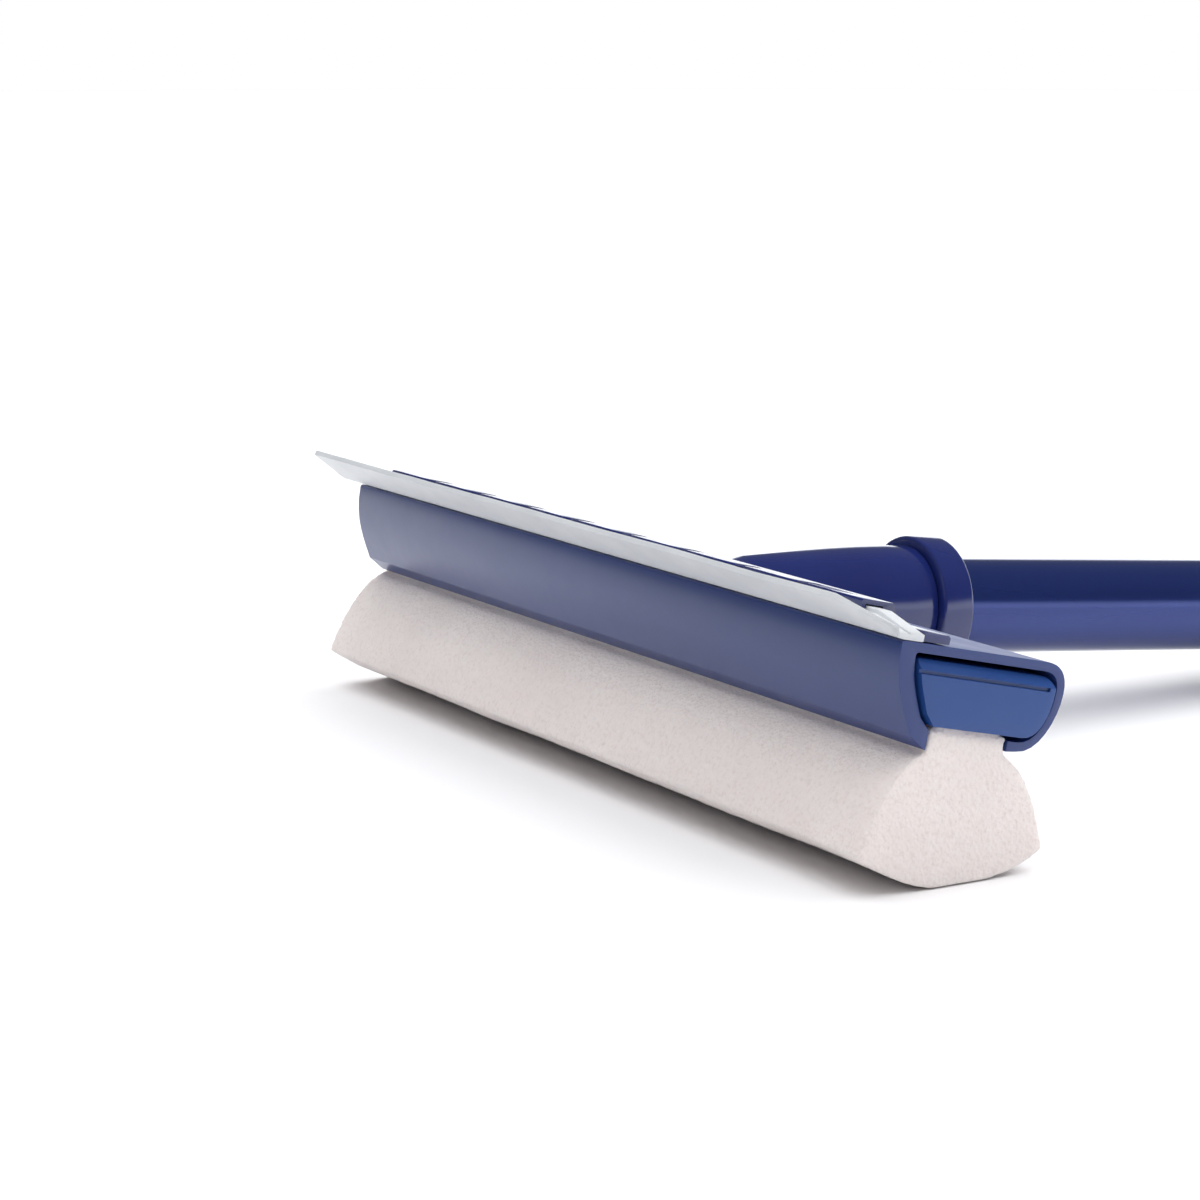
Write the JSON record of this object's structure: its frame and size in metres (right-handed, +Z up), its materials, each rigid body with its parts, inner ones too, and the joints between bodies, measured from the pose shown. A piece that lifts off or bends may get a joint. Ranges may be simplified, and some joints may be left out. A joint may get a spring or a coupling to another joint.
{
  "type": "window cleaning squeegee",
  "caption": "Window squeegee with a rubber wiping blade on a C-section head, a slide-in sponge cartridge under it and a straight tube handle with a grip and hanging tab.",
  "frame": {"origin": "on the table, under the middle of the whole squeegee's box, as it rests on the sponge and the handle's end", "axes": "+X from the blade towards the handle's end, +Y along the head towards its closed end, +Z up"},
  "size_m": [0.317, 0.2562, 0.0606],
  "materials": {
    "channel_plastic": "satin moulded blue",
    "dark_blue_plastic": "glossy moulded dark blue",
    "cartridge_plastic": "satin moulded blue",
    "blue_lacquer": "glossy dark blue lacquer on thin steel tube",
    "white_rubber": "smooth off-white rubber",
    "grip_rubber": "matt black moulded grip",
    "screw_steel": "zinc plated",
    "sponge_foam": "open-cell cleaning foam, off-white"
  },
  "bodies": {
    "head_and_handle": {"head_channel": "channel_plastic", "blade_retainer": "dark_blue_plastic", "handle_socket": "dark_blue_plastic", "retainer_screw_1": "screw_steel", "retainer_screw_2": "screw_steel", "retainer_screw_3": "screw_steel", "saddle_screw_1": "screw_steel", "saddle_screw_2": "screw_steel", "saddle_screw_3": "screw_steel", "saddle_screw_4": "screw_steel", "collar_ring": "dark_blue_plastic", "handle_tube": "blue_lacquer", "tube_plug": "dark_blue_plastic", "socket_rivet": "screw_steel", "grip_sleeve": "grip_rubber", "end_cap": "dark_blue_plastic"},
    "sponge_cartridge": {"sponge_holder": "cartridge_plastic", "sponge": "sponge_foam"},
    "wiping_blade": {"rubber_blade": "white_rubber"}
  },
  "joints": [
    {"name": "cartridge_slide", "type": "slide", "parent": "head_and_handle", "child": "sponge_cartridge", "axis": [0, -1, 0], "range_m": [0, 0.25]},
    {"name": "blade_slide", "type": "slide", "parent": "head_and_handle", "child": "wiping_blade", "axis": [0, 1, 0], "range_m": [-0.01, 0.25]}
  ]
}
